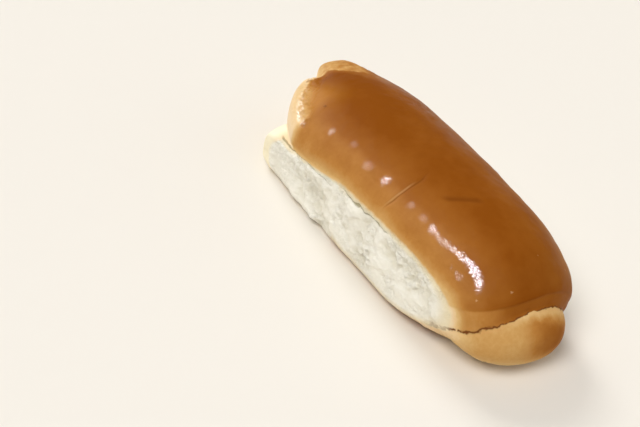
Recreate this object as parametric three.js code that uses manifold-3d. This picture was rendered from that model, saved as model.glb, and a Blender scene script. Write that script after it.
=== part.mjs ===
// A hot dog bun: one soft roll, pulled from the next rolls of its batch.
// A domed crust closes over the top, each long side is torn white crumb, and a swollen
// foot of dough stands out under a split in the crust at each end.
import * as THREE from "three";
import { mergeVertices } from "three/addons/utils/BufferGeometryUtils.js";
import Module from "manifold-3d";

// Millimetres: +X is the near end, -Y the torn side that shows most, +Z up
const HEIGHT = 44.7;
const BASE_ROUND = 5;
const BASE_TRIM = 0.25;

// The crust's dome: half sizes from its widest section, and how square its corners are
const DOME_LEVEL = 17.9;
const DOME_BELOW = 39;
const DOME_BELOW_NEAR = 16.9;
const DOME_BELOW_RUN = 60;
const DOME_NEAR = 67.4;
const DOME_FAR = 76.2;
const DOME_LEFT = 30.3;
const DOME_RIGHT = 31.8;
const DOME_WIDENING = 0.015;
const BOW_NEAR = 0.6;
const BOW_FAR = 4.3;
const BOW_LENGTH = 70;
const SECTION_SQUARENESS = 2.15;
const NEAR_SQUARENESS = 3.03;
const FAR_SQUARENESS = 2.81;
const NEAR_LOW_SQUARENESS = 0.68;
const FAR_LOW_SQUARENESS = 0.2;
const LOW_SPAN = [20, 34];

// The foot of dough at each end: its middle, half sizes, squareness and slant across
const NEAR_FOOT = {
  x: 31.7,
  y: -1.5,
  z: 12.8,
  length: 43.1,
  left: 27.4,
  right: 20.2,
  rise: 15.4,
  section: 2.14,
  plan: 3.04,
  slant: 0.095,
};
const FAR_FOOT = {
  x: 28.6,
  y: -4.1,
  z: 8.3,
  length: 40,
  left: 26.7,
  right: 26.7,
  rise: 13.4,
  section: 2.5,
  plan: 4.15,
  slant: -0.126,
};

// The torn sides: distance from the middle, and their swell along the length
const TORN_LEFT = 25.6;
const TORN_RIGHT = 27.4;
const TORN_SWELL = 2.2;
const TORN_SWELL_AT = -11.2;
const TORN_SWELL_LENGTH = 60;
const LUMP_HEIGHT = 1.6;
const LUMP_SIZE = 9;
const FLAKE_HEIGHT = 1.1;
const FLAKE_SIZE = 4.5;
const CRUST_THICKNESS = 2.5;

// The split in the crust over the near foot, and the fold over the far one
const SPLIT_DEPTH = 1.2;
const SPLIT_WIDTH = 0.8;
const SPLIT_JAG = 0.6;
const FOLD_DEPTH = 0.5;
const JAG_SIZE = 5;

// The rough seam round the top of the far end: a lip of dough swells out under it, more to the
// right of a gap in it, and the crown is set back over it
const SEAM_LEVEL = 35.2;
const SEAM_TILT = 0.24;
const SEAM_TILT_END = 6;
const SEAM_DIP = 2.2;
const SEAM_DIP_AT = -2;
const SEAM_DIP_WIDTH = 6.5;
const SEAM_START = -47;
const SEAM_RUN = 7;
const SEAM_DEPTH = 0.9;
const SEAM_WIDTH = 2;
const LIP_SWELL = 0.8;
const LIP_DROP = 4.3;
const LIP_GROWTH = 1.8;
const LIP_GROWTH_SPAN = [-8, 4];
const LIP_END_SPAN = [12, 19];
const LIP_GAP = 0.95;
const LIP_GAP_AT = -0.8;
const LIP_GAP_WIDTH = 3.2;
const SEAM_FADE = 0.8;
const SEAM_FADE_SPAN = [-6, 2];
const SETBACK = 0.9;
const SETBACK_SPAN = [-1, 1.5];
const SETBACK_FADE = [3, 13];

// Low on the left the near foot is tucked in, behind a belly of crumb
const TUCK = { x: 52, width: 8, depth: 1.5 };
const BELLY = { x: 26, width: 14, depth: 1.2 };
const WAIST_TOP = [5, 14];
const WAIST_EDGE = [-18, -8];

// The slow unevenness of risen dough under the crust
const SAG_HEIGHT = 0.7;
const SAG_SIZE = 24;

// The grid of rays that finds the surface, from a spine along the middle of the roll
const SPINE_LEVEL = 18;
const SPINE_SHARE = 0.62;
const RAY_BOX = { x: 78, y: 30, z: 26 };
const RAYS = { x: 60, y: 26, z: 22 };
const HALVINGS = 20;
const SEED = 5;
const CHANCE_STEPS = [127.1, 311.7, 74.7];
const CHANCE_SPREAD = 43758.5453;

const CRUST_COLOUR = 0xa8651f;
const CRUST_ROUGHNESS = 0.35;

// A repeatable chance from 0 to 1 for one corner of a lattice
function chance(...corner) {
  const angle = corner.reduce((sum, step, axis) => sum + step * CHANCE_STEPS[axis], 0) + SEED;
  const wave = Math.sin(angle) * CHANCE_SPREAD;
  return wave - Math.floor(wave);
}

function ease(t) {
  return t * t * (3 - 2 * t);
}

// Smooth lumps of a given size, from -0.5 to 0.5
function lumps(p, size) {
  const cell = [p.x / size, p.y / size, p.z / size];
  const low = cell.map(Math.floor);
  const part = cell.map((value, axis) => ease(value - low[axis]));
  let sum = 0;
  for (let corner = 0; corner < 8; corner++) {
    const step = [corner & 1, (corner >> 1) & 1, corner >> 2];
    const share = step.reduce((product, on, axis) => product * (on ? part[axis] : 1 - part[axis]), 1);
    sum += share * chance(low[0] + step[0], low[1] + step[1], low[2] + step[2]);
  }
  return sum - 0.5;
}

// How far a point is through a rounded block: 1 on its skin, less inside
function gauge(x, y, z, a, b, c, section, plan) {
  const ring = Math.abs(y / b) ** section + Math.abs(z / c) ** section;
  return (ring ** (plan / section) + Math.abs(x / a) ** plan) ** (1 / plan);
}

// Each form below gives millimetres outside its skin, negative inside
function dome(p) {
  const near = p.x > 0;
  const y = p.y - (near ? BOW_NEAR : BOW_FAR) * (p.x / BOW_LENGTH) ** 2;
  const low = 1 - THREE.MathUtils.smoothstep(p.z, ...LOW_SPAN);
  const nearPlan = NEAR_SQUARENESS + NEAR_LOW_SQUARENESS * low;
  const farPlan = FAR_SQUARENESS + FAR_LOW_SQUARENESS * low;
  const plan = near ? nearPlan : farPlan;
  const half = (y > 0 ? DOME_RIGHT : DOME_LEFT) * (1 + (DOME_WIDENING * p.x) / BOW_LENGTH);
  const nearShare = THREE.MathUtils.clamp(p.x / DOME_BELOW_RUN, 0, 1);
  const below = THREE.MathUtils.lerp(DOME_BELOW, DOME_BELOW_NEAR, nearShare);
  const rise = p.z > DOME_LEVEL ? HEIGHT - DOME_LEVEL : below;
  const length = near ? DOME_NEAR : DOME_FAR;
  return (gauge(p.x, y, p.z - DOME_LEVEL, length, half, rise, SECTION_SQUARENESS, plan) - 1) * DOME_LEFT;
}

function foot(p, end, form) {
  const x = end * p.x - form.x;
  const y = p.y - form.y - form.slant * x;
  const half = y > 0 ? form.right : form.left;
  return (gauge(x, y, p.z - form.z, form.length, half, form.rise, form.section, form.plan) - 1) * form.rise;
}

function tornSide(p, side, distance, crumb) {
  const swell = TORN_SWELL * (1 - ((p.x - TORN_SWELL_AT) / TORN_SWELL_LENGTH) ** 2);
  return side * p.y - distance - swell + crumb;
}

// A groove that is deepest where its line is zero
function groove(line, width, depth) {
  return depth * Math.exp(-((line / width) ** 2));
}

// What the tuck takes from the left side and the belly adds to it
function waist(p) {
  const low = 1 - THREE.MathUtils.smoothstep(p.z, ...WAIST_TOP);
  const left = 1 - THREE.MathUtils.smoothstep(p.y, ...WAIST_EDGE);
  const tuck = groove(p.x - TUCK.x, TUCK.width, TUCK.depth);
  const belly = groove(p.x - BELLY.x, BELLY.width, BELLY.depth);
  return low * left * (tuck - belly);
}

// The bun's skin: crust and feet, split where they meet, torn at the sides, round at the base
function bun(p) {
  const crust = dome(p);
  const nearFoot = foot(p, 1, NEAR_FOOT);
  const farFoot = foot(p, -1, FAR_FOOT);
  const jag = SPLIT_JAG * lumps(p, JAG_SIZE);
  const split = groove(crust - nearFoot + jag, SPLIT_WIDTH, SPLIT_DEPTH);
  const fold = groove(crust - farFoot + jag, SPLIT_WIDTH, FOLD_DEPTH);
  const farShare = ease(THREE.MathUtils.clamp((SEAM_START - p.x) / SEAM_RUN, 0, 1));
  const dip = groove(p.y - SEAM_DIP_AT, SEAM_DIP_WIDTH, SEAM_DIP);
  const overSeam = p.z - SEAM_LEVEL - SEAM_TILT * Math.min(p.y, SEAM_TILT_END) + dip;
  const seam = groove(overSeam + jag, SEAM_WIDTH, SEAM_DEPTH);
  const seamShare = 1 - SEAM_FADE * THREE.MathUtils.smoothstep(p.y, ...SEAM_FADE_SPAN);
  const lipGrowth = 1 + LIP_GROWTH * THREE.MathUtils.smoothstep(p.y, ...LIP_GROWTH_SPAN);
  const lipReach = 1 - THREE.MathUtils.smoothstep(p.y, ...LIP_END_SPAN);
  const lipShare = lipReach * (1 - groove(p.y - LIP_GAP_AT, LIP_GAP_WIDTH, LIP_GAP));
  const lip = groove(overSeam + LIP_DROP, LIP_DROP, -LIP_SWELL * lipGrowth * lipShare);
  const setbackEnd = 1 - THREE.MathUtils.smoothstep(overSeam, ...SETBACK_FADE);
  const setback = SETBACK * THREE.MathUtils.smoothstep(overSeam, ...SETBACK_SPAN) * setbackEnd;
  const sag = SAG_HEIGHT * lumps(p, SAG_SIZE);
  const farEnd = farShare * (lip + seamShare * (seam + setback));
  const dough = Math.min(crust, nearFoot, farFoot) + split + fold + farEnd + sag;
  const underCrust = THREE.MathUtils.clamp(-dough / CRUST_THICKNESS, 0, 1);
  const crumb = underCrust * (LUMP_HEIGHT * lumps(p, LUMP_SIZE) + FLAKE_HEIGHT * lumps(p, FLAKE_SIZE));
  const torn = Math.max(tornSide(p, -1, TORN_LEFT, crumb), tornSide(p, 1, TORN_RIGHT, crumb));
  const side = Math.max(dough, torn) + waist(p) + BASE_ROUND;
  const base = BASE_ROUND - p.z;
  const corner = Math.hypot(Math.max(side, 0), Math.max(base, 0));
  return corner + Math.min(Math.max(side, base), 0) - BASE_ROUND;
}

// Moves each point of a fine box in or out along its ray from the spine until it meets the skin
function bunSkin() {
  const box = new THREE.BoxGeometry(2, 2, 2, RAYS.x, RAYS.y, RAYS.z);
  box.deleteAttribute("normal");
  box.deleteAttribute("uv");
  const skin = mergeVertices(box);
  const place = skin.attributes.position;
  const start = new THREE.Vector3();
  const ray = new THREE.Vector3();
  const point = new THREE.Vector3();
  for (let i = 0; i < place.count; i++) {
    ray.fromBufferAttribute(place, i).multiply(RAY_BOX);
    start.set(SPINE_SHARE * ray.x, 0, SPINE_LEVEL);
    ray.x -= start.x;
    let reach = 0;
    for (let step = 1; step > 2 ** -HALVINGS; step /= 2) {
      point.copy(start).addScaledVector(ray, reach + step);
      reach += bun(point) < 0 ? step : 0;
    }
    point.copy(start).addScaledVector(ray, reach);
    place.setXYZ(i, point.x, point.y, point.z);
  }
  return skin;
}

const wasm = await Module();
wasm.setup();

function toSolid(geometry) {
  return new wasm.Manifold(new wasm.Mesh({
    numProp: 3,
    vertProperties: new Float32Array(geometry.attributes.position.array),
    triVerts: new Uint32Array(geometry.index.array),
  }));
}

function toGeometry(solid) {
  const mesh = solid.getMesh();
  const geometry = new THREE.BufferGeometry();
  geometry.setAttribute("position", new THREE.BufferAttribute(new Float32Array(mesh.vertProperties), 3));
  geometry.setIndex(new THREE.BufferAttribute(new Uint32Array(mesh.triVerts), 1));
  return geometry;
}

// A slab under the bun that trims its base to one flat face
function baseSlab() {
  const slab = new THREE.BoxGeometry(4 * DOME_FAR, 4 * DOME_RIGHT, HEIGHT);
  slab.translate(0, 0, BASE_TRIM - HEIGHT / 2);
  slab.deleteAttribute("normal");
  slab.deleteAttribute("uv");
  return mergeVertices(slab);
}

// The finished shape stands on the ground plane with its box centred on the origin
function bunGeometry() {
  const geometry = toGeometry(toSolid(bunSkin()).subtract(toSolid(baseSlab())));
  geometry.computeBoundingBox();
  const centre = geometry.boundingBox.getCenter(new THREE.Vector3());
  geometry.translate(-centre.x, -centre.y, -BASE_TRIM);
  geometry.computeVertexNormals();
  return geometry;
}

const crust = new THREE.MeshStandardMaterial({
  color: CRUST_COLOUR,
  roughness: CRUST_ROUGHNESS,
  metalness: 0,
});

const bunMesh = new THREE.Mesh(bunGeometry(), crust);
bunMesh.name = "bun";

const roll = new THREE.Group();
roll.add(bunMesh);

export default roll;
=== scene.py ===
import math

import bpy
from mathutils import Matrix, Vector


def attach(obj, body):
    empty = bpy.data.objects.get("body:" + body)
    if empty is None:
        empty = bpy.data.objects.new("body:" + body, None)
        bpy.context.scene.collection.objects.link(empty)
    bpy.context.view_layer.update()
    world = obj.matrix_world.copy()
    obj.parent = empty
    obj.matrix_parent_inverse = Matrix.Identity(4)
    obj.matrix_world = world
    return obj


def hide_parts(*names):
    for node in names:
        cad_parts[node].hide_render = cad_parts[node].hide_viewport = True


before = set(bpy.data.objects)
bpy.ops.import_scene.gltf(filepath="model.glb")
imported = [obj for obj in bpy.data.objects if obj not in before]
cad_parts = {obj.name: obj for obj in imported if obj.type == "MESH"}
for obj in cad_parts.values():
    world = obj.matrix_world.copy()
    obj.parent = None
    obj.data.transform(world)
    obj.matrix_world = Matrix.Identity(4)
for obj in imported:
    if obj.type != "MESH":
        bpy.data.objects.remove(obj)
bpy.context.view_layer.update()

# The bun: one piece of soft white dough, baked in a tin close beside others and brushed with egg. Pulled
# from its row when cool, it has browned crust over the top and ends, torn crumb on both long sides, and
# a split at the near end where the dough burst out under the crust.
MM = 0.001
# Millimetres, slopes and shares, before the bun is centred and set down on its trimmed base.
BUN_SIZES = {
    "height": 44.7,
    "base round": 5.0,
    "base trim": 0.25,
    "centre along": -1.95,
    "centre across": 0.8,
    "dome level": 17.9,
    "dome below": 39.0,
    "dome below near": 16.9,
    "dome below run": 60.0,
    "dome near": 67.4,
    "dome far": 76.2,
    "dome left": 30.3,
    "dome right": 31.8,
    "dome widening": 0.015,
    "bow near": 0.6,
    "bow far": 4.3,
    "bow length": 70.0,
    "section squareness": 2.15,
    "near squareness": 3.03,
    "far squareness": 2.81,
    "near low squareness": 0.68,
    "far low squareness": 0.2,
    "near foot x": 31.7,
    "near foot y": -1.5,
    "near foot z": 12.8,
    "near foot length": 43.1,
    "near foot left": 27.4,
    "near foot right": 20.2,
    "near foot rise": 15.4,
    "near foot section": 2.14,
    "near foot plan": 3.04,
    "near foot slant": 0.095,
    "far foot x": 28.6,
    "far foot y": -4.1,
    "far foot z": 8.3,
    "far foot length": 40.0,
    "far foot left": 26.7,
    "far foot right": 26.7,
    "far foot rise": 13.4,
    "far foot section": 2.5,
    "far foot plan": 4.15,
    "far foot slant": -0.126,
    "torn left": 25.6,
    "torn right": 27.4,
    "torn swell": 2.2,
    "torn swell at": -11.2,
    "torn swell length": 60.0,
    "torn edge round": 1.4,
    "split round": 1.2,
    "seam level": 35.2,
    "seam tilt": 0.24,
    "seam tilt end": 6.0,
    "seam dip": 2.2,
    "seam dip at": -2.0,
    "seam dip width": 6.5,
    "seam start": -47.0,
    "seam run": 7.0,
    "seam fade": 0.8,
    "lip swell": 0.8,
    "lip drop": 4.3,
    "lip growth": 1.8,
    "lip gap": 0.95,
    "lip gap at": -0.8,
    "lip gap width": 3.2,
    "setback": 0.9,
    "tuck at": 52.0,
    "tuck width": 8.0,
    "tuck depth": 1.5,
    "belly at": 26.0,
    "belly width": 14.0,
    "belly depth": 1.2,
    "sag height": 1.0,
    "skin wave height": 0.5,
    "split jag": 1.0,
    "split depth": 0.5,
    "split width": 0.4,
    "ridge step": 0.5,
    "fold depth": 0.4,
    "seam depth": 0.9,
    "seam width": 1.6,
    "seam jag": 1.6,
    "seam bump height": 2.6,
    "seam bump width": 2.0,
    "seam bump drop": 0.6,
    "wrinkle at": 9.4,
    "wrinkle middle": -17.0,
    "wrinkle curve": 0.02,
    "wrinkle wander": 1.2,
    "wrinkle width": 0.6,
    "wrinkle depth": 0.5,
    "dent at": 27.1,
    "dent slant": 0.59,
    "dent wander": 3.0,
    "dent width": 1.8,
    "dent depth": 0.3,
    "crust thickness": 2.5,
    "lump height": 3.0,
    "flake height": 1.1,
    "tuft height": 3.2,
    "tuft smooth": 0.4,
    "tuft rough": 1.2,
    "far crumb share": 0.35,
    "far corner hold": 2.5,
    "far edge level": 18.95,
    "far edge slope": 0.28,
    "far edge bend": -48.9,
    "far crease slope": 0.18,
    "far crease bend": -38.2,
    "far crease wander": 1.2,
    "crease inset": 0.9,
    "crease wander": 2.4,
    "crease width": 0.3,
    "crease depth": 0.9,
}
# Where each change starts and where it is complete, in the same millimetres or as values of a noise.
SPANS = {
    "low plan": (20.0, 34.0),
    "lip growth": (-8.0, 4.0),
    "lip end": (12.0, 19.0),
    "seam fade": (-6.0, 2.0),
    "setback": (-1.0, 1.5),
    "setback end": (3.0, 13.0),
    "waist top": (5.0, 14.0),
    "waist edge": (-18.0, -8.0),
    "ridge": (-3.3, -2.5),
    "ridge end": (-0.6, 0.0),
    "wrinkle": (-26.0, -23.0),
    "wrinkle end": (-12.0, -5.0),
    "dent": (-12.0, -8.0),
    "dent end": (0.0, 4.0),
    "rough": (-0.12, 0.1),
    "far left along": (-18.0, -14.0),
    "far left across": (-13.0, -7.0),
    "far corner": (-50.0, -64.0),
    "far crumb": (-52.0, -34.0),
    "crease": (-24.0, -8.0),
    "crease end": (12.0, 22.0),
    "crease height": (20.0, 24.0),
    "far crease": (-58.0, -54.0),
    "far crease end": (-24.0, -16.0),
    "tear": (-0.2, 0.4),
    "far tear": (-64.0, -60.0),
    "base": (0.6, 4.0),
}
# Size in millimetres and level of detail of each noise in the relief.
GRAINS = {
    "sag": (24.0, 0.0),
    "skin wave": (6.5, 1.0),
    "jag": (4.0, 2.0),
    "wrinkle": (6.0, 0.0),
    "dent": (9.0, 0.0),
    "seam bump": (1.5, 1.0),
    "lump": (9.0, 0.0),
    "tuft": (2.8, 3.0),
    "rough": (10.0, 1.0),
    "crease": (6.0, 2.0),
    "far crease": (5.0, 2.0),
}
FLAKE_SIZE = 6.5
FLAKE_ROUNDING = 0.1
FLAKE_BEND = 6.0
FLAKE_BEND_SIZE = 4.0
RAY_BOX = Vector((156.0, 60.0, 52.0))
RAY_COUNTS = (220, 100, 80)
SPINE_SHARE = 0.62
SPINE_LEVEL = 18.0
HALVINGS = 18


class Wire:
    """One output of a node. Arithmetic on wires adds Math nodes, and node() adds any other node."""

    def __init__(self, tree, maker=None, result=0):
        self.tree = tree
        self.maker = maker
        self.result = result

    def output(self, result):
        return Wire(self.tree, self.maker, result)

    def feed(self, sockets):
        for name, value in sockets.items():
            if isinstance(value, Wire):
                self.tree.links.new(value.maker.outputs[value.result], self.maker.inputs[name])
            else:
                self.maker.inputs[name].default_value = value
        return self

    def node(self, kind, settings=None, sockets=None, result=0):
        maker = self.tree.nodes.new(kind)
        for name, value in (settings or {}).items():
            if name == "stops":
                ramp = maker.color_ramp.elements
                for place, colour in value[2:]:
                    ramp.new(place)
                for stop, (place, colour) in zip(ramp, value):
                    stop.position = place
                for stop, (place, colour) in zip(ramp, value):
                    stop.color = (*colour, 1.0)
            else:
                setattr(maker, name, value)
        return Wire(self.tree, maker, result).feed(sockets or {})

    def math(self, operation, *values):
        return self.node("ShaderNodeMath", {"operation": operation}, dict(enumerate(values)))

    def __add__(self, other):
        return self.math("ADD", self, other)

    def __radd__(self, other):
        return self.math("ADD", other, self)

    def __sub__(self, other):
        return self.math("SUBTRACT", self, other)

    def __rsub__(self, other):
        return self.math("SUBTRACT", other, self)

    def __mul__(self, other):
        return self.math("MULTIPLY", self, other)

    def __rmul__(self, other):
        return self.math("MULTIPLY", other, self)

    def __truediv__(self, other):
        return self.math("DIVIDE", self, other)

    def __rtruediv__(self, other):
        return self.math("DIVIDE", other, self)

    def __pow__(self, other):
        return self.math("POWER", self, other)

    def __rpow__(self, other):
        return self.math("POWER", other, self)

    def __neg__(self):
        return self.math("MULTIPLY", self, -1.0)

    def __abs__(self):
        return self.math("ABSOLUTE", self)

    def __gt__(self, other):
        return self.math("GREATER_THAN", self, other)

    def __lt__(self, other):
        return self.math("LESS_THAN", self, other)


def at_least(value, low):
    return value.math("MAXIMUM", value, low)


def at_most(value, high):
    return value.math("MINIMUM", value, high)


def between(low, high, share):
    return low + (high - low) * share


def rise(value, low, high):
    """From 0 below low to 1 above high, eased."""
    ends = {"Value": value, "From Min": low, "From Max": high}
    return value.node("ShaderNodeMapRange", {"interpolation_type": "SMOOTHSTEP"}, ends)


def fall(value, low, high):
    """From 1 below low to 0 above high, eased."""
    return 1 - rise(value, low, high)


def scaled(vector, factor):
    return vector.node("ShaderNodeVectorMath", {"operation": "SCALE"}, {0: vector, "Scale": factor})


def axes_of(place):
    axes = place.node("ShaderNodeSeparateXYZ", {}, {0: place})
    return axes, axes.output(1), axes.output(2)


def lumps(place, size, detail=0.0):
    """Soft lumps about the given size, roughly from -0.5 to 0.5."""
    return place.node("ShaderNodeTexNoise", {}, {"Vector": place, "Scale": 1 / size, "Detail": detail}) - 0.5


def groove(line, width, depth):
    """Deepest where its line is zero."""
    share = line / width
    return depth * share.math("EXPONENT", -(share * share))


def gauge(x, y, z, a, b, c, section, plan):
    """How far a point is through a rounded block: 1 on its skin, less inside."""
    ring = abs(y / b) ** section + abs(z / c) ** section
    return (ring ** (plan / section) + abs(x / a) ** plan) ** (1 / plan)


def dome(x, y, z, size):
    """Millimetres outside the domed crust, which is squarer and less tall below at the near end."""
    near = x > 0.0
    along = x / size["bow length"]
    across = y - between(size["bow far"], size["bow near"], near) * along * along
    half = between(size["dome left"], size["dome right"], across > 0.0) * (1 + size["dome widening"] * along)
    near_share = at_most(at_least(x / size["dome below run"], 0.0), 1.0)
    below = between(size["dome below"], size["dome below near"], near_share)
    up = between(below, size["height"] - size["dome level"], z > size["dome level"])
    length = between(size["dome far"], size["dome near"], near)
    plan = between(size["far squareness"], size["near squareness"], near)
    low_plan = between(size["far low squareness"], size["near low squareness"], near)
    plan = plan + low_plan * fall(z, *SPANS["low plan"])
    through = gauge(x, across, z - size["dome level"], length, half, up, size["section squareness"], plan)
    return (through - 1) * size["dome left"]


def foot(x, y, z, size, name):
    """Millimetres outside the swollen foot of dough at one end."""
    out = x - size[name + " x"]
    across = y - size[name + " y"] - size[name + " slant"] * out
    half = between(size[name + " left"], size[name + " right"], across > 0.0)
    through = gauge(out, across, z - size[name + " z"], size[name + " length"], half, size[name + " rise"],
                    size[name + " section"], size[name + " plan"])
    return (through - 1) * size[name + " rise"]


def bun_form(place, size):
    """Millimetres outside the smooth skin at a place, and the lines that relief and finish follow."""
    x, y, z = axes_of(place)
    crust = dome(x, y, z, size)
    near_foot = foot(x, y, z, size, "near foot")
    far_foot = foot(-x, y, z, size, "far foot")
    dough = at_most(crust.math("SMOOTH_MIN", crust, near_foot, size["split round"]), far_foot)

    far_share = rise(size["seam start"] - x, 0.0, size["seam run"])
    seam_level = size["seam level"] + size["seam tilt"] * at_most(y, size["seam tilt end"])
    seam = z - seam_level + groove(y - size["seam dip at"], size["seam dip width"], size["seam dip"])
    lip = size["lip swell"] * (1 + size["lip growth"] * rise(y, *SPANS["lip growth"]))
    lip = lip * fall(y, *SPANS["lip end"])
    lip = lip * (1 - groove(y - size["lip gap at"], size["lip gap width"], size["lip gap"]))
    seam_share = far_share * (1 - size["seam fade"] * rise(y, *SPANS["seam fade"]))
    setback = size["setback"] * rise(seam, *SPANS["setback"]) * fall(seam, *SPANS["setback end"])
    dough = dough + seam_share * setback - far_share * groove(seam + size["lip drop"], size["lip drop"], lip)

    along = (x - size["torn swell at"]) / size["torn swell length"]
    swell = size["torn swell"] * (1 - along * along)
    torn = at_least(-y - size["torn left"], y - size["torn right"]) - swell
    tuck = groove(x - size["tuck at"], size["tuck width"], size["tuck depth"])
    belly = groove(x - size["belly at"], size["belly width"], size["belly depth"])
    waist = fall(z, *SPANS["waist top"]) * fall(y, *SPANS["waist edge"]) * (tuck - belly)
    side = dough.math("SMOOTH_MAX", dough, torn, size["torn edge round"]) + waist + size["base round"]
    base = size["base round"] - z
    out_side = at_least(side, 0.0)
    out_base = at_least(base, 0.0)
    corner = (out_side * out_side + out_base * out_base) ** 0.5
    skin = corner + at_most(at_least(side, base), 0.0) - size["base round"]
    lines = {"depth": -dough, "inset": -torn, "split": crust - near_foot, "fold": crust - far_foot,
             "seam": seam, "far": far_share, "seam share": seam_share}
    return skin, lines


def over_far_edge(x, z, size):
    """Millimetres above the crust's lower edge on the far left, which slopes up from a bend."""
    return z - size["far edge level"] - size["far edge slope"] * at_least(x - size["far edge bend"], 0.0)


def far_left_share(x, y):
    return fall(x, *SPANS["far left along"]) * fall(y, *SPANS["far left across"])


def crust_relief(place, line, size):
    """Millimetres that waves, splits, a wrinkle and a dent go into the crust, and lines for its finish."""
    x, y = axes_of(place)[:2]
    jag = size["split jag"] * lumps(place, *GRAINS["jag"])
    crust = size["sag height"] * lumps(place, *GRAINS["sag"])
    crust = crust + size["skin wave height"] * lumps(place, *GRAINS["skin wave"])
    crust = crust + groove(line["split"] + jag, size["split width"], size["split depth"])
    ridge = rise(line["split"], *SPANS["ridge"]) * fall(line["split"], *SPANS["ridge end"])
    crust = crust + size["ridge step"] * ridge
    crust = crust + groove(line["fold"] + jag, size["split width"], size["fold depth"])

    from_middle = y - size["wrinkle middle"]
    wrinkle = x - size["wrinkle at"] + size["wrinkle curve"] * from_middle * from_middle
    wrinkle = wrinkle + size["wrinkle wander"] * lumps(place, *GRAINS["wrinkle"])
    wrinkle_reach = rise(y, *SPANS["wrinkle"]) * fall(y, *SPANS["wrinkle end"])
    crust = crust + wrinkle_reach * groove(wrinkle, size["wrinkle width"], size["wrinkle depth"])
    dent_line = x - size["dent at"] - size["dent slant"] * y
    dent_line = dent_line + size["dent wander"] * lumps(place, *GRAINS["dent"])
    dent_reach = rise(y, *SPANS["dent"]) * fall(y, *SPANS["dent end"])
    dent = dent_reach * groove(dent_line, size["dent width"], size["dent depth"])

    bump_line = line["seam"] + size["seam bump drop"]
    seam_bumps = groove(bump_line, size["seam bump width"], size["seam bump height"])
    seam_bumps = seam_bumps * lumps(place, *GRAINS["seam bump"])
    seam_groove = groove(line["seam"] + size["seam jag"] * jag, size["seam width"], size["seam depth"])
    crust = crust + dent + line["seam share"] * (seam_groove + seam_bumps)
    return crust, {"wrinkle": wrinkle, "dent": dent}


def crumb_relief(place, line, size):
    """Millimetres that lumps, flakes and creases go into the crumb, where it shows, and its marks."""
    x, y, z = axes_of(place)
    bend = place.node("ShaderNodeTexNoise", {}, {
        "Vector": place, "Scale": 1 / FLAKE_BEND_SIZE, "Detail": 2.0}, "Color")
    bent = place.node("ShaderNodeVectorMath", {"operation": "MULTIPLY_ADD"}, {
        0: bend, 1: (FLAKE_BEND, FLAKE_BEND, FLAKE_BEND), 2: place})
    flakes = place.node("ShaderNodeTexVoronoi", {"feature": "SMOOTH_F1"}, {
        "Vector": bent, "Scale": 1 / FLAKE_SIZE, "Smoothness": FLAKE_ROUNDING}, "Color")
    flake = place.node("ShaderNodeSeparateXYZ", {}, {0: flakes}) - 0.5
    rough_share = rise(lumps(place, *GRAINS["rough"]), *SPANS["rough"])
    rough = between(size["tuft smooth"], size["tuft rough"], rough_share)
    crumb = size["lump height"] * lumps(place, *GRAINS["lump"])
    crumb = crumb + size["tuft height"] * rough * lumps(place, *GRAINS["tuft"])
    crumb = crumb + size["flake height"] * flake

    over_edge = over_far_edge(x, z, size)
    far_left = far_left_share(x, y)
    under_crust = between(line["depth"], -over_edge, far_left)
    under_crust = under_crust - size["far corner hold"] * rise(x, *SPANS["far corner"])
    crumb = crumb * rise(under_crust, 0.0, size["crust thickness"])
    crumb = crumb * between(size["far crumb share"], 1.0, rise(x, *SPANS["far crumb"]))

    crease_wander = size["crease wander"] * lumps(place, *GRAINS["crease"])
    crease_line = line["depth"] - size["crease inset"] + crease_wander
    crease_reach = rise(x, *SPANS["crease"]) * fall(x, *SPANS["crease end"])
    crease_reach = crease_reach * rise(z, *SPANS["crease height"])
    far_line = over_edge + size["far crease slope"] * at_least(x - size["far crease bend"], 0.0)
    far_line = far_line + size["far crease wander"] * lumps(place, *GRAINS["far crease"])
    far_reach = rise(x, *SPANS["far crease"]) * fall(x, *SPANS["far crease end"])
    crease = crease_reach * groove(crease_line, size["crease width"], size["crease depth"])
    crease = crease + far_reach * groove(far_line, size["crease width"], size["crease depth"])

    torn = rise(line["depth"] - line["inset"], *SPANS["tear"])
    far_torn = rise(-over_edge, *SPANS["tear"]) * rise(x, *SPANS["far tear"])
    torn = between(torn, at_least(torn, far_torn), far_left)
    marks = {"crumb": crumb, "rough": rough, "crease": crease * torn, "far line": far_line}
    return crumb + crease, torn, marks


def bun_relief(place, line, size):
    """Millimetres that the skin is carved in, and the marks that the finish follows."""
    crust, crust_marks = crust_relief(place, line, size)
    crumb, torn, crumb_marks = crumb_relief(place, line, size)
    above_base = rise(axes_of(place)[2], *SPANS["base"])
    return above_base * between(crust, crumb, torn), {**crust_marks, **crumb_marks}


def size_inputs(tree, sizes):
    """Gives a tree one named input for each size, and returns its wires."""
    for name, value in sizes.items():
        tree.interface.new_socket(name, in_out="INPUT", socket_type="NodeSocketFloat").default_value = value
    given = Wire(tree).node("NodeGroupInput")
    return {name: given.output(name) for name in sizes}


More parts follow.
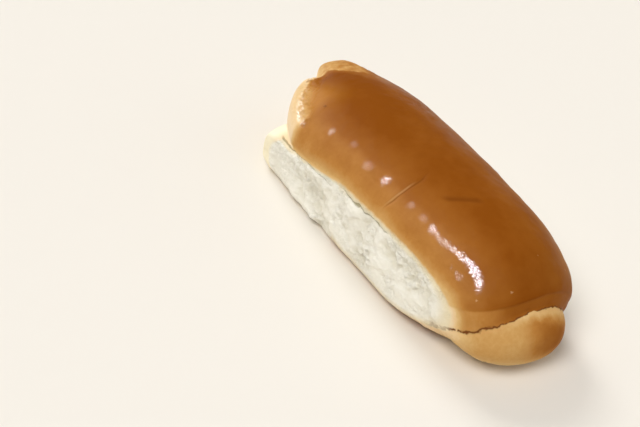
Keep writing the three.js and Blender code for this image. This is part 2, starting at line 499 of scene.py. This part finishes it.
def bun_tree(material):
    """Grows a fine box from the spine of the roll out to its skin, by halving steps along rays."""
    tree = bpy.data.node_groups.new("bun shape", "GeometryNodeTree")
    tree.interface.new_socket("Geometry", in_out="OUTPUT", socket_type="NodeSocketGeometry")
    size = size_inputs(tree, BUN_SIZES)
    start = Wire(tree)
    counts = {"Vertices " + axis: count for axis, count in zip("XYZ", RAY_COUNTS)}
    box = start.node("GeometryNodeMeshCube", {}, {"Size": RAY_BOX * MM, **counts})
    here = start.node("GeometryNodeInputPosition")
    ray = here.node("ShaderNodeVectorMath", {"operation": "MULTIPLY"}, {
        0: here, 1: (1 - SPINE_SHARE, 1.0, 1.0)})
    spine = here.node("ShaderNodeVectorMath", {"operation": "MULTIPLY_ADD"}, {
        0: here, 1: (SPINE_SHARE, 0.0, 0.0), 2: (0.0, 0.0, SPINE_LEVEL * MM)})
    shape = start.node("GeometryNodeStoreNamedAttribute", {"data_type": "FLOAT_VECTOR", "domain": "POINT"}, {
        "Geometry": box, "Name": "ray", "Value": ray})
    shape = start.node("GeometryNodeSetPosition", {}, {"Geometry": shape, "Position": spine})

    zone_in = start.node("GeometryNodeRepeatInput")
    zone_out = start.node("GeometryNodeRepeatOutput")
    zone_in.maker.pair_with_output(zone_out.maker)
    zone_out.maker.repeat_items.new("FLOAT", "Step")
    zone_in.feed({"Iterations": HALVINGS, "Geometry": shape, "Step": 1.0})
    step = zone_in.output("Step")
    stored_ray = start.node("GeometryNodeInputNamedAttribute", {"data_type": "FLOAT_VECTOR"}, {
        "Name": "ray"})
    reach = scaled(stored_ray, step)
    ahead = here.node("ShaderNodeVectorMath", {"operation": "ADD"}, {0: here, 1: reach})
    skin, lines = bun_form(scaled(ahead, 1 / MM), size)
    grown = start.node("GeometryNodeSetPosition", {}, {
        "Geometry": zone_in.output("Geometry"), "Selection": skin < 0.0, "Offset": reach})
    zone_out.feed({"Geometry": grown, "Step": step * 0.5})
    shape = zone_out.output("Geometry")

    place = scaled(here, 1 / MM)
    skin, lines = bun_form(place, size)
    relief, marks = bun_relief(place, lines, size)
    for name, value in {**lines, **marks, "relief": relief}.items():
        shape = start.node("GeometryNodeStoreNamedAttribute", {"data_type": "FLOAT", "domain": "POINT"}, {
            "Geometry": shape, "Name": name, "Value": value})
    stored_relief = start.node("GeometryNodeInputNamedAttribute", {"data_type": "FLOAT"}, {"Name": "relief"})
    carve = scaled(start.node("GeometryNodeInputNormal"), stored_relief * -MM)
    shape = start.node("GeometryNodeSetPosition", {}, {"Geometry": shape, "Offset": carve})
    x, y, z = axes_of(here)
    stand = here.node("ShaderNodeCombineXYZ", {}, {
        0: x - size["centre along"] * MM, 1: y - size["centre across"] * MM,
        2: at_least(z - size["base trim"] * MM, 0.0)})
    shape = start.node("GeometryNodeSetPosition", {}, {"Geometry": shape, "Position": stand})
    shape = start.node("GeometryNodeSetShadeSmooth", {}, {"Geometry": shape})
    shape = start.node("GeometryNodeRealizeInstances", {}, {"Geometry": shape})
    shape = start.node("GeometryNodeSetMaterial", {}, {"Geometry": shape, "Material": material})
    start.node("NodeGroupOutput", {}, {"Geometry": shape})
    return tree


def grown_piece(name, tree, sizes):
    """Runs a tree on an empty object, and keeps the result as the object's own plain mesh."""
    piece = bpy.data.objects.new(name, bpy.data.meshes.new(name))
    bpy.context.scene.collection.objects.link(piece)
    grow = piece.modifiers.new("shape", "NODES")
    grow.node_group = tree
    for item in tree.interface.items_tree:
        if item.in_out == "INPUT" and item.name in sizes:
            grow[item.identifier] = sizes[item.name]
    graph = bpy.context.evaluated_depsgraph_get()
    mesh = bpy.data.meshes.new_from_object(
        piece.evaluated_get(graph), preserve_all_data_layers=True, depsgraph=graph)
    piece.modifiers.remove(grow)
    piece.data = mesh
    return piece


# Colours of the crust from pale to dark, each with its place on the scale of browning.
BAKE_COLOURS = (
    (0.0, (0.92, 0.72, 0.47)), (0.15, (0.74, 0.49, 0.21)), (0.3, (0.60, 0.33, 0.105)),
    (0.5, (0.475, 0.205, 0.045)), (0.75, (0.32, 0.105, 0.013)), (1.0, (0.24, 0.064, 0.004)))
# Colours of the crust and crumb; several are painted shade or painted highlights, as noted at each.
SHADES = {
    "ochre": (0.44, 0.165, 0.010, 1.0),
    # Painted shade in the narrow gap of the split at the near end.
    "split": (0.17, 0.055, 0.014, 1.0),
    # Painted shade in the wrinkle's groove, and a painted highlight along its raised edge.
    "wrinkle": (0.16, 0.045, 0.005, 1.0),
    "wrinkle highlight": (0.60, 0.33, 0.12, 1.0),
    # Painted shade in the shallow dent across the crown.
    "dent": (0.19, 0.05, 0.004, 1.0),
    # Painted shade in pores and in dashes of the split.
    "pit shade": (0.14, 0.04, 0.003, 1.0),
    "seam spot": (0.36, 0.14, 0.018, 1.0),
    # Painted highlight: glints on tiny blisters of the crust.
    "blister highlight": (0.80, 0.52, 0.26, 1.0),
    "far corner": (0.99, 0.90, 0.66, 1.0),
    "far foot": (0.90, 0.68, 0.40, 1.0),
    # Painted shade in the crease between crust and crumb on the far left.
    "crust crease shade": (0.26, 0.14, 0.04, 1.0),
    "crumb": (0.94, 0.905, 0.79, 1.0),
    # Painted shade in the crumb's hollows.
    "crumb hollow shade": (0.79, 0.745, 0.61, 1.0),
    "crumb edge": (0.84, 0.72, 0.48, 1.0),
    # Painted shade in the crumb's creases.
    "crumb crease shade": (0.30, 0.25, 0.11, 1.0),
    # Painted shade in the split's gap where it crosses the crumb.
    "crumb split shade": (0.22, 0.09, 0.03, 1.0),
}
# Centre and radius in millimetres on the standing bun, and share of the shade, as for the patches of wash.
SPOTS = {
    # Painted shade in pores on the crown and by the near base, and in dashes along the split on the right.
    "pit shade": (
        ((-45.8, -15.4, 37.1), 1.0, 0.7), ((68.9, -16.9, 5.6), 0.9, 1.0), ((69.5, 5.0, 23.9), 0.6, 0.7),
        ((69.1, 8.7, 23.0), 0.6, 0.7), ((69.1, 13.1, 20.1), 0.7, 0.8)),
    "seam spot": (((-70.1, -6.0, 30.4), 1.8, 0.7), ((-47.6, -21.4, 29.9), 2.6, 0.8)),
    # Painted highlights: glints on tiny raised blisters near the ends.
    "blister highlight": (
        ((60.4, -19.7, 28.7), 0.6, 0.4), ((65.0, -8.6, 32.3), 0.6, 0.35), ((57.3, 7.1, 38.1), 0.6, 0.25),
        ((60.0, 20.1, 29.4), 0.7, 0.3)),
}
WASH_PATCHES = (
    ((-32.8, -20.9, 35.9), 1.9, 0.6), ((-20.0, -19.6, 38.7), 2.2, 0.15), ((-8.3, -21.4, 38.0), 3.0, 0.2),
    ((2.4, -20.5, 38.8), 2.6, 0.7), ((17.7, -20.0, 39.0), 2.5, 0.12), ((25.2, -20.3, 38.5), 2.5, 0.15),
    ((31.0, -20.0, 38.3), 2.0, 0.9), ((47.2, -21.8, 33.4), 1.2, 0.3), ((49.5, -21.6, 32.9), 1.2, 0.35),
    ((51.0, -21.2, 32.6), 1.4, 0.5))
MASKS = ("depth", "inset", "split", "fold", "seam", "far", "crumb", "rough", "crease", "far line",
         "wrinkle", "dent")
# Size in millimetres and level of detail of each noise in the finish.
FINISH_GRAINS = {
    "bake": (16.0, 2.0),
    "bake fleck": (3.5, 2.0),
    "bake speck": (1.3, 2.0),
    "far end": (3.0, 2.0),
    "fine jag": (1.5, 1.0),
    "split gap": (2.6, 1.0),
    "far fold": (5.0, 0.0),
    "dry skin": (2.2, 2.0),
    "wash": (2.2, 1.0),
    "wash speck": (0.55, 1.0),
    "sheen": (5.0, 2.0),
    "seam glint": (1.6, 2.0),
    "glint": (3.0, 3.0),
    "glint fleck": (0.9, 2.0),
    "torn edge": (2.4, 2.0),
    "crumb": (1.4, 3.0),
}


def new_material(name):
    material = bpy.data.materials.new(name)
    material.use_nodes = True
    material.node_tree.nodes.clear()
    return material, Wire(material.node_tree)


def mixed(share, low, high):
    """A colour between two colours."""
    return share.node("ShaderNodeMix", {"data_type": "RGBA"}, {0: share, 6: low, 7: high}, 2)


def gained(value, *steps):
    """Adds up gains that ease in over spans of a value, each as (gain, from, to)."""
    return sum(gain * rise(value, low, high) for gain, low, high in steps)


def distance(place, centre):
    return place.node("ShaderNodeVectorMath", {"operation": "DISTANCE"}, {0: place, 1: centre}, "Value")


def bump(place, height):
    """A normal tilted by a height in millimetres."""
    return place.node("ShaderNodeBump", {}, {"Strength": 1.0, "Distance": MM, "Height": height})


def top_brown(x, inset):
    """Bake of the top: pale along the torn edge, darker up to the crown, pale at the near corner."""
    edge_brown, edge_gain, edge_depth = 0.17, 0.43, 1.4
    crown_gains = ((0.14, 5.0, 11.0), (0.21, 6.0, 24.0))
    near_end, near_corner = (40.0, 58.0), (-2.0, 4.0)
    far_gain, far_crown, far_half = 0.06, (8.0, 16.0), (-40.0, 30.0)
    brown = edge_brown + edge_gain * (1 - inset.math("EXPONENT", at_least(inset, 0.0) / -edge_depth))
    brown = brown + gained(inset, *crown_gains)
    brown = brown * between(1.0, rise(inset, *near_corner), rise(x, *near_end))
    return brown + far_gain * rise(inset, *far_crown) * fall(x, *far_half)


def far_end_brown(place, y, mask, brown):
    """Bake of the far end: pale under the seam, browner over it, a mottled strip and lip on its right."""
    seam, mottle = mask["seam"], lumps(place, *FINISH_GRAINS["far end"])
    left_edge, left_brown = (-1.8, -0.6), 0.22
    left_gains, left_lip_gain = ((0.22, -0.2, 2.5), (0.38, 1.5, 10.0)), (0.15, -7.5, -2.0)
    strip_width, strip_wander, strip_start = 2.2, 1.5, (0.0, 6.0)
    hidden_side, hidden_softness = (10.0, 18.0), 4.0
    right_edge, right_brown, right_shade_gain = (-1.4, -0.2), 0.75, (0.25, -0.2, 2.0)
    left_to_right = (-12.0, -2.0)
    lip_start, lip_top = (-6.0, 3.0), (-6.0, -2.0)
    lip_brown, lip_gain, lip_mottle = 0.3, (0.12, 0.0, 6.0), 0.7
    hidden = rise(y, *hidden_side)
    left = rise(seam, *left_edge) * (left_brown + gained(seam, *left_gains)) + gained(seam, left_lip_gain)
    over_strip = seam - strip_width * rise(y, *strip_start) * (1 - hidden) + strip_wander * mottle
    over_strip = over_strip / (1 + hidden_softness * hidden)
    right = rise(over_strip, *right_edge) * (right_brown + gained(over_strip, right_shade_gain))
    brown = brown * between(1.0, between(left, right, rise(y, *left_to_right)), mask["far"])
    on_lip = mask["far"] * rise(y, *lip_start) * rise(seam, *lip_top)
    return at_least(brown, (lip_brown + gained(y, lip_gain) + lip_mottle * (1 - hidden) * mottle) * on_lip)


def near_end_brown(y, z, mask, crack, brown):
    """Near end: a band of crust over the split, the foot paler left and low, and painted light and shade."""
    split_gain, right_shade_gain = (0.06, -5.0, -3.4), (0.16, 10.0, 20.0)
    band_edge, band_inset, band_brown, band_gain = (-3.1, -2.7), (-0.5, 2.4), 0.42, (0.39, -22.0, -8.0)
    foot_edge, foot_left = (-0.05, 0.15), (-28.0, -20.0)
    foot_brown, foot_low_share, foot_rise = 0.29, 0.15, (2.0, 11.0)
    foot_right_gain, foot_right_rise = (0.42, -10.0, 6.0), (2.0, 12.0)
    rim_paling, rim_span, rim_start = 0.7, (0.3, 1.4), (-14.0, -2.0)
    rim_widening = (1.2, -6.0, 8.0)
    # Browner to the right: painted shade on the side turned from the lights.
    brown = brown + gained(mask["split"], split_gain) + gained(y, right_shade_gain)
    band = (band_brown + gained(y, band_gain)) * rise(mask["inset"], *band_inset)
    brown = between(brown, band, rise(mask["split"], *band_edge))
    # Paler low on the foot: partly its own paler base crust, partly painted light against the shade near the
    # floor.
    on_foot = foot_brown * between(foot_low_share, 1.0, rise(z, *foot_rise))
    on_foot = on_foot + gained(y, foot_right_gain) * rise(z, *foot_right_rise)
    rim = fall(crack / (1 + gained(y, rim_widening)), *rim_span) * rise(y, *rim_start)
    return between(brown, on_foot * (1 - rim_paling * rim) * rise(y, *foot_left), rise(crack, *foot_edge))


def crust_browning(place, mask, crack, over_edge, far_left):
    """Browning from 0 cream to 1 dark caramel, partly painted shade on the right and light low on the foot.
    """
    x, y, z = axes_of(place)
    far_foot_edge, base_brown, base_edge = (-0.1, 0.3), 0.06, (0.2, 1.5)
    mottle_height, fleck_height, mottled = 0.3, 0.12, (0.1, 0.6)
    speck_height, speck_from, speck_until, speck_loss = 0.1, (0.0, 0.15), (0.45, 0.7), 0.8
    corner_drop, corner_span = 2.2, (-62.0, -48.0)
    edge_brown, edge_gains = 0.12, ((0.5, -0.3, 4.5), (0.5, 4.0, 12.0))
    brown = top_brown(x, mask["inset"])
    brown = far_end_brown(place, y, mask, brown)
    brown = near_end_brown(y, z, mask, crack, brown)
    brown = between(brown, 0.0, rise(mask["fold"], *far_foot_edge))
    brown = between(brown, base_brown, fall(z, *base_edge))
    mottle = mottle_height * lumps(place, *FINISH_GRAINS["bake"])
    mottle = mottle + fleck_height * lumps(place, *FINISH_GRAINS["bake fleck"])
    specks = rise(brown, *speck_from) * (1 - speck_loss * rise(brown, *speck_until))
    specks = specks * lumps(place, *FINISH_GRAINS["bake speck"])
    brown = brown + mottle * rise(brown, *mottled) + speck_height * specks
    from_edge = over_edge - corner_drop * fall(x, *corner_span)
    return between(brown, at_most(brown, edge_brown + gained(from_edge, *edge_gains)), far_left)


def split_gap_shade(place, crack):
    """Share of painted shade in the gap along the split, open in places and narrower to the right."""
    y = axes_of(place)[1]
    closing, open_span = (0.06, -12.0, 2.0), (-0.12, -0.04)
    start, gap_edge = (-27.0, -25.0), 0.03
    gap, gap_narrowing = 0.26, ((0.06, -20.0, -12.0), (0.04, -12.0, 0.0))
    is_open = rise(lumps(place, *FINISH_GRAINS["split gap"]) - gained(y, closing), *open_span)
    return is_open * rise(y, *start) * fall(abs(crack), gap_edge, gap - gained(y, *gap_narrowing))


def far_fold_shade(place, mask):
    """Share of painted shade in the crease between crust and crumb on the far left, fainter in places."""
    x, y = axes_of(place)[:2]
    width, start, end, left = (0.05, 0.24), (-57.0, -54.0), (-22.0, -14.0), (-14.0, -8.0)
    loss, loss_start, loss_span = 0.5, (-46.0, -40.0), (-0.1, 0.1)
    fold_shade = fall(abs(mask["far line"]), *width) * rise(x, *start) * fall(x, *end) * fall(y, *left)
    lost = rise(x, *loss_start) * rise(lumps(place, *FINISH_GRAINS["far fold"]), *loss_span)
    return fold_shade * (1 - loss * lost)


def crust_colour(place, mask, brown, gap_shade, fold_shade):
    """Bake colour, spots, cream far foot, and painted shade and highlights at the split, wrinkle and dent.
    """
    x, y, z = axes_of(place)
    ochre_share, ochre_end, ochre_left, ochre_seam = 0.6, (-54.0, -38.0), (-12.0, 0.0), (0.0, 1.6)
    crease_start, crease_end, crease_height = (-27.0, -23.0), (-13.0, -6.0), (28.0, 32.0)
    crease_share, crease_width = 0.45, (0.1, 0.45)
    wrinkle_highlight_share, rim_offset, rim_width, rim_end = 0.4, 0.7, (0.1, 0.5), (-18.0, -13.0)
    dent_shade_span, foot_edge, corner_end, fold_share = (0.02, 0.4), (-0.1, 0.4), (-60.0, -54.0), 0.75
    spot_wander, spot_core = 2.0, 0.4
    colour = brown.node("ShaderNodeValToRGB", {"stops": BAKE_COLOURS}, {0: brown})
    ochre = fall(x, *ochre_end) * fall(y, *ochre_left) * rise(mask["seam"], *ochre_seam)
    colour = mixed(ochre_share * ochre, colour, SHADES["ochre"])
    # Painted shade in the split's gap.
    colour = mixed(gap_shade, colour, SHADES["split"])
    # Painted shade along the wrinkle's groove, and a painted highlight on the rim beside it.
    on_top = rise(y, *crease_start) * rise(z, *crease_height)
    wrinkle_shade = fall(abs(mask["wrinkle"]), *crease_width) * on_top * fall(y, *crease_end)
    colour = mixed(crease_share * wrinkle_shade, colour, SHADES["wrinkle"])
    wrinkle_highlight = fall(abs(mask["wrinkle"] + rim_offset), *rim_width) * on_top * fall(y, *rim_end)
    colour = mixed(wrinkle_highlight_share * wrinkle_highlight, colour, SHADES["wrinkle highlight"])
    # Painted shade along the dent.
    colour = mixed(rise(mask["dent"], *dent_shade_span), colour, SHADES["dent"])
    # Spots: painted shade in pits, brown seam patches, and painted highlights on tiny blisters.
    for shade, spots in SPOTS.items():
        for centre, radius, share in spots:
            ragged = distance(place, centre) + spot_wander * radius * lumps(place, radius, 1.0)
            colour = mixed(share * fall(ragged, spot_core * radius, radius), colour, SHADES[shade])
    cream = mixed(rise(x, *corner_end), SHADES["far corner"], SHADES["far foot"])
    colour = mixed(rise(mask["fold"], *foot_edge), colour, cream)
    # Painted shade in the far crease.
    return mixed(fold_share * fold_shade, colour, SHADES["crust crease shade"])


def egg_wash(place, mask):
    """Share of wet-looking egg wash: a sheen on the right, glints along the seam and the left shoulder."""
    x, y, z = axes_of(place)
    sheen_share, sheen_start, sheen_right, sheen_span = 0.26, (-62.0, -50.0), (8.0, 15.0), (-0.2, 0.1)
    sheen_loss = (0.6, -30.0, 20.0)
    seam_drop, seam_width, seam_left, seam_span = 1.1, (0.4, 1.2), (-16.0, -8.0), (-0.12, 0.05)
    streak_at, streak_shift, streak_return = -20.4, (3.5, 34.0, 52.0), (0.8, 54.0, 60.0)
    streak_width, streak_widening, streak_narrowing = 1.1, (0.6, 40.0, 54.0), (0.4, 56.0, 60.0)
    streak_start, streak_end, streak_height = (28.0, 32.0), (57.5, 60.0), (26.0, 29.0)
    streak_core, streak_faint, streak_gain = (0.3, 1.0), 0.35, (0.65, 40.0, 51.0)
    patch_wander, patch_core, fleck_wander = 1.2, 0.2, 4.0
    sheen = rise(x, *sheen_start) * (1 - gained(x, sheen_loss)) * rise(y, *sheen_right)
    sheen = sheen_share * sheen * rise(lumps(place, *FINISH_GRAINS["sheen"]), *sheen_span)
    sparkle = rise(lumps(place, *FINISH_GRAINS["seam glint"]), *seam_span)
    sparkle = sparkle * fall(abs(mask["seam"] + seam_drop), *seam_width)
    wash = at_least(sheen, mask["far"] * sparkle * fall(y, *seam_left))
    flecks = fleck_wander * lumps(place, *FINISH_GRAINS["glint fleck"])
    off_streak = abs(y - streak_at - gained(x, streak_shift) + gained(x, streak_return)) + flecks
    width = streak_width + gained(x, streak_widening) - gained(x, streak_narrowing)
    streak = rise(x, *streak_start) * (streak_faint + gained(x, streak_gain)) * fall(x, *streak_end)
    wash = at_least(wash, streak * fall(off_streak / width, *streak_core) * rise(z, *streak_height))
    for centre, radius, share in WASH_PATCHES:
        wander = patch_wander * radius * lumps(place, *FINISH_GRAINS["glint"])
        ragged = distance(place, centre) + wander + flecks
        wash = at_least(wash, share * fall(ragged, patch_core * radius, radius))
    return wash


def crumb_colour(x, mask, under_crust, gap_shade, fold_shade):
    """White crumb with painted shade in its hollows, creases and split gap, and cream under the crust."""
    hollow, cream_start, cream_reach, cream_gain = (-0.6, 1.2), 0.2, 1.4, (0.6, 40.0, 50.0)
    crease_share, crease_span, fold_share, gap_shade_share = 0.8, (0.5, 0.85), 0.75, 0.8
    # Painted shade in the hollows of the relief.
    colour = mixed(rise(mask["crumb"], *hollow), SHADES["crumb"], SHADES["crumb hollow shade"])
    cream = fall(under_crust, cream_start, cream_reach + gained(x, cream_gain))
    colour = mixed(cream, colour, SHADES["crumb edge"])
    # Painted shade in the crease under the crust and in the far crease.
    crease_shade = at_least(crease_share * rise(mask["crease"], *crease_span), fold_share * fold_shade)
    colour = mixed(crease_shade, colour, SHADES["crumb crease shade"])
    # Painted shade in the split's gap on the crumb.
    return mixed(gap_shade_share * gap_shade, colour, SHADES["crumb split shade"])


def bun_finish():
    """Egg-washed crust over the dough's skin, and matt torn crumb under it."""
    material, start = new_material("baked crust and torn crumb")
    fine_jag, ragged_height = 0.35, 0.5
    dry_height, wash_height, wash_speck_height, crumb_height = 0.1, 0.1, 0.2, 1.1
    near_crust, near_end = 0.15, (44.0, 57.0)
    corner_at, corner_curve, corner_level, corner_wander = -59.7, 0.06, 9.5, 4.0
    tear, far_tear, corner_tear = (-0.4, 0.4), (-0.5, 0.5), (-1.2, 1.2)
    foot_edge, foot_start, base_edge = (0.1, 0.5), (48.0, 54.0), (0.5, 1.5)
    place = scaled(start.node("ShaderNodeTexCoord", {}, {}, "Object"), 1 / MM)
    x, y, z = axes_of(place)
    mask = {name: start.node("ShaderNodeAttribute", {"attribute_name": name}, {}, "Fac") for name in MASKS}
    crack = mask["split"] + BUN_SIZES["split jag"] * lumps(place, *GRAINS["jag"])
    crack = crack + fine_jag * lumps(place, *FINISH_GRAINS["fine jag"])
    form_x, form_y = x + BUN_SIZES["centre along"], y + BUN_SIZES["centre across"]
    over_edge = over_far_edge(form_x, z + BUN_SIZES["base trim"], BUN_SIZES)
    far_left = far_left_share(form_x, form_y)
    gap_shade = split_gap_shade(place, crack)
    fold_shade = far_fold_shade(place, mask)

    brown = crust_browning(place, mask, crack, over_edge, far_left)
    colour = crust_colour(place, mask, brown, gap_shade, fold_shade)
    dry_grain = dry_height * lumps(place, *FINISH_GRAINS["dry skin"])
    dry = start.node("ShaderNodeBsdfPrincipled", {}, {
        "Base Color": colour, "Roughness": 0.45, "Specular IOR Level": 0.015,
        "Normal": bump(place, dry_grain)})
    wash_grain = wash_speck_height * lumps(place, *FINISH_GRAINS["wash speck"])
    wash_grain = wash_grain + wash_height * lumps(place, *FINISH_GRAINS["wash"])
    washed = start.node("ShaderNodeBsdfPrincipled", {}, {
        "Base Color": colour, "Roughness": 0.15, "Specular IOR Level": 0.6,
        "Normal": bump(place, wash_grain)})
    crust = start.node("ShaderNodeMixShader", {}, {0: egg_wash(place, mask), 1: dry, 2: washed})

    ragged_edge = ragged_height * lumps(place, *FINISH_GRAINS["torn edge"])
    torn_edge = mask["depth"] - mask["inset"] - near_crust * rise(x, *near_end) + ragged_edge
    far_edge = ragged_edge - over_edge
    under_crust = between(torn_edge, far_edge, far_left)
    crumb_shade = crumb_colour(x, mask, under_crust, gap_shade, fold_shade)
    crumb_grain = crumb_height * mask["rough"] * lumps(place, *FINISH_GRAINS["crumb"])
    crumb = start.node("ShaderNodeBsdfPrincipled", {}, {
        "Base Color": crumb_shade, "Roughness": 0.9, "Specular IOR Level": 0.2,
        "Normal": bump(place, crumb_grain)})

    from_level = z - corner_level
    corner = x - corner_at - corner_curve * from_level * from_level + corner_wander * ragged_edge
    far_torn = rise(far_edge, *far_tear) * rise(corner, *corner_tear)
    on_foot = rise(crack, *foot_edge) * rise(x, *foot_start)
    torn = between(rise(torn_edge, *tear), far_torn, far_left) * (1 - on_foot) * rise(z, *base_edge)
    surface = start.node("ShaderNodeMixShader", {}, {0: torn, 1: crust, 2: crumb})
    start.node("ShaderNodeOutputMaterial", {}, {"Surface": surface})
    return material


bun = grown_piece("baked_bun", bun_tree(bun_finish()), BUN_SIZES)
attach(bun, "root")
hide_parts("bun")

# The floor: a plain pale table top that the bun rests on, wide enough to fill every view. It is painted
# and matt, with a faint grain in its shine.
FLOOR_HALF = 12.0
FLOOR_COLOUR = (0.815, 0.77, 0.695, 1.0)
FLOOR_ROUGHNESS = 0.85
FLOOR_GRAIN = 0.1
FLOOR_GRAIN_SIZE = 40.0


def floor_finish():
    material, start = new_material("pale table top")
    place = scaled(start.node("ShaderNodeTexCoord", {}, {}, "Object"), 1 / MM)
    paint = start.node("ShaderNodeBsdfPrincipled", {}, {
        "Base Color": FLOOR_COLOUR, "Specular IOR Level": 0.1,
        "Roughness": FLOOR_ROUGHNESS + FLOOR_GRAIN * lumps(place, FLOOR_GRAIN_SIZE, 3.0)})
    start.node("ShaderNodeOutputMaterial", {}, {"Surface": paint})
    return material


floor_mesh = bpy.data.meshes.new("floor")
floor_corners = [(sx * FLOOR_HALF, sy * FLOOR_HALF, 0.0) for sx, sy in ((-1, -1), (1, -1), (1, 1), (-1, 1))]
floor_mesh.from_pydata(floor_corners, [], [(0, 1, 2, 3)])
floor_mesh.materials.append(floor_finish())
floor = bpy.data.objects.new("floor", floor_mesh)
bpy.context.scene.collection.objects.link(floor)

# The light: three soft suns, a key from the far end, a fill over the torn side and a weak one from the
# back. Ceiling lamps and two low windows show only in reflections, as the glints on the bun's left
# shoulder and as the sheen on its right and far end.
SUN_DISTANCE = 2.0
# Name, direction, energy, and angle across in degrees.
SUNS = (("key", (-0.8, 0.1, 0.6), 1.35, 20.0), ("fill", (0.15, -0.5, 0.85), 1.9, 35.0),
        ("back", (0.6, 0.5, 0.62), 0.6, 60.0))
LAMP_HEIGHT = 2.0
LAMP_COLOUR = (0.94, 0.94, 1.0)
# Name, place along and across as shares of the height, length, width and brightness.
LAMPS = (("lamp_far", -2.05, -0.99, 0.5, 0.25, 220.0), ("lamp_faint", -1.1, -0.6, 0.5, 0.4, 40.0),
         ("lamp_middle", -0.87, -0.56, 0.25, 0.2, 300.0), ("lamp_row", -0.08, -0.58, 2.0, 0.22, 150.0),
         ("lamp_end", 0.5, -0.82, 0.3, 0.5, 80.0), ("lamp_low", -0.08, -1.23, 0.5, 0.16, 80.0))
DOWN = Vector((0.0, 0.0, -1.0))
# Name, place, length, width and brightness.
WINDOWS = (("window_right", (-2.1, 2.2, 0.1), 1.0, 0.7, 1.2),
           ("window_far", (-2.7, -0.48, 0.6), 1.5, 1.4, 12.0))
AIR_COLOUR = (0.25, 0.246, 0.242, 1.0)
GLOSS_SHARE = 0.12
SKY_SEEN = (0.90, 0.845, 0.76, 1.0)


def new_light(name, kind, energy, toward, place):
    data = bpy.data.lights.new(name, kind)
    data.energy = energy
    light = bpy.data.objects.new(name, data)
    light.location = place
    light.rotation_mode = "QUATERNION"
    light.rotation_quaternion = toward.to_track_quat("-Z", "Y")
    bpy.context.scene.collection.objects.link(light)
    return light


def new_panel(name, toward, place, length, width, brightness):
    """A glowing panel that shows only in reflections."""
    panel = new_light(name, "AREA", math.pi * length * width * brightness, toward, place)
    panel.data.shape = "RECTANGLE"
    panel.data.size = length
    panel.data.size_y = width
    panel.data.color = LAMP_COLOUR
    panel.visible_diffuse = False


for name, direction, energy, width in SUNS:
    sun = new_light(name, "SUN", energy, -Vector(direction), Vector(direction) * SUN_DISTANCE)
    sun.data.angle = math.radians(width)
    sun.visible_glossy = False

for name, along, across, length, width, brightness in LAMPS:
    place = Vector((along, across, 1.0)) * LAMP_HEIGHT
    new_panel(name, DOWN, place, length, width, brightness)
for name, place, length, width, brightness in WINDOWS:
    new_panel(name, -Vector(place), Vector(place), length, width, brightness)

world = bpy.data.worlds.new("studio")
bpy.context.scene.world = world
world.use_nodes = True
world.node_tree.nodes.clear()
air = Wire(world.node_tree)
path = air.node("ShaderNodeLightPath", {}, {}, "Is Camera Ray")
background = air.node("ShaderNodeBackground", {}, {
    "Color": mixed(path, AIR_COLOUR, SKY_SEEN),
    "Strength": 1.0 - (1.0 - GLOSS_SHARE) * path.output("Is Glossy Ray")})
air.node("ShaderNodeOutputWorld", {}, {"Surface": background})
bpy.context.scene.view_settings.view_transform = "Standard"

# The camera: a long lens above the near end, turned a little on its axis, with the bun right of the
# middle. Its angles were fitted to the photograph together with the bun's sizes.
IMAGE = (640.0, 427.0)
CAMERA_TURN = 47.46
CAMERA_RISE = 37.40
CAMERA_ROLL = 12.71
CAMERA_DISTANCE = 789.0
CAMERA_REACH = 100.0
PIXELS_PER_MM = 2.7217
TARGET_PIXEL = (421.08, 208.02)
TARGET = Vector((1.95, -0.8, 19.75)) * MM
SENSOR = 36.0

turn, lift, roll = (math.radians(angle) for angle in (CAMERA_TURN, CAMERA_RISE, CAMERA_ROLL))
back = Vector((math.sin(turn) * math.cos(lift), -math.cos(turn) * math.cos(lift), math.sin(lift)))
level_right = Vector((math.cos(turn), math.sin(turn), 0.0))
level_up = back.cross(level_right)
right = math.cos(roll) * level_right + math.sin(roll) * level_up
up = math.cos(roll) * level_up - math.sin(roll) * level_right
focal = PIXELS_PER_MM * CAMERA_DISTANCE
aside = IMAGE[0] / 2 - TARGET_PIXEL[0]
below = IMAGE[1] / 2 - TARGET_PIXEL[1]
middle = right * aside / focal - up * below / focal - back
camera_back = -middle.normalized()
camera_right = up.cross(camera_back).normalized()
camera_up = camera_back.cross(camera_right)
lens = bpy.data.cameras.new("camera")
lens.sensor_width = SENSOR
lens.lens = focal / IMAGE[0] * SENSOR
lens.clip_end = CAMERA_REACH
camera = bpy.data.objects.new("camera", lens)
camera_axes = Matrix((camera_right, camera_up, camera_back)).transposed().to_4x4()
camera.matrix_world = Matrix.Translation(TARGET + back * CAMERA_DISTANCE * MM) @ camera_axes
bpy.context.scene.collection.objects.link(camera)
bpy.context.scene.camera = camera
